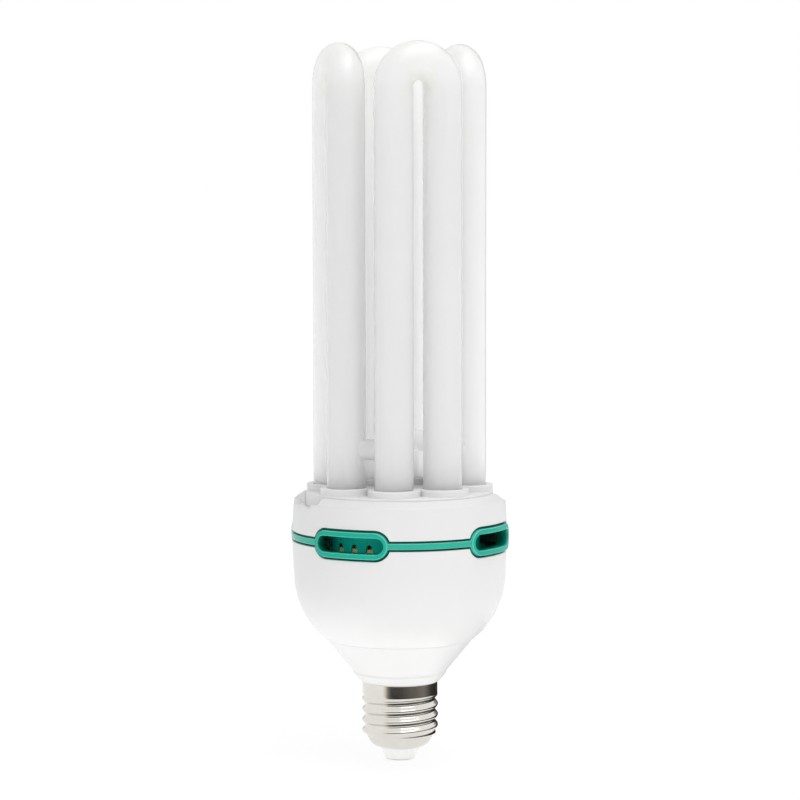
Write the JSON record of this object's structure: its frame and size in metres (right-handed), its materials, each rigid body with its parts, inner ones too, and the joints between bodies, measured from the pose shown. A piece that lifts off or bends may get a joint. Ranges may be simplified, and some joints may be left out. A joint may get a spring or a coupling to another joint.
{
  "type": "compact fluorescent lamp",
  "caption": "Mains lamp of U-bent white glass tubes on a round ballast housing with framed vent windows and an Edison screw cap.",
  "frame": {"origin": "tip of the centre contact, on the lamp's axis", "axes": "+Z along the lamp's axis from the cap to the tubes; one U faces each of -Y, +X, +Y and -X, and the vent windows lie between them"},
  "size_m": [0.0742, 0.0742, 0.2451],
  "materials": {
    "coated_glass": "white phosphor coat inside clear glossy glass",
    "white_plastic": "satin, moulded",
    "green_plastic": "satin, moulded",
    "nickel": "bright nickel plate on rolled sheet",
    "contact_metal": "bright tin plate",
    "cap_insulation": "gloss, moulded",
    "board_laminate": "pressed paper laminate",
    "capacitor_sleeve": "shrunk sleeve",
    "ferrite": "matt, sintered",
    "black_plastic": "moulded",
    "copper_wire": "enamelled copper wire",
    "film_dip": "dipped lacquer",
    "resistor_coat": "cement coat",
    "tinned_wire": "tinned",
    "lead_insulation": "insulated wire"
  },
  "bodies": {
    "root": {"centre_contact": "contact_metal", "cap_insulator": "cap_insulation", "screw_shell": "nickel", "cap_neck": "white_plastic", "lower_shell": "white_plastic", "vent_ring": "green_plastic", "upper_shell": "white_plastic", "burner_plate": "white_plastic", "glass_burner": "coated_glass", "ballast_board": "board_laminate", "bulk_capacitor": "capacitor_sleeve", "choke_core": "ferrite", "choke_bobbin": "black_plastic", "choke_winding": "copper_wire", "drive_toroid": "ferrite", "power_transistors": "black_plastic", "film_capacitor": "film_dip", "coupling_capacitor": "film_dip", "rectifier_diodes": "black_plastic", "filter_coil": "ferrite", "fuse_resistor": "resistor_coat", "wrap_pins": "tinned_wire", "tube_leads": "tinned_wire", "cap_leads": "lead_insulation"}
  },
  "joints": []
}
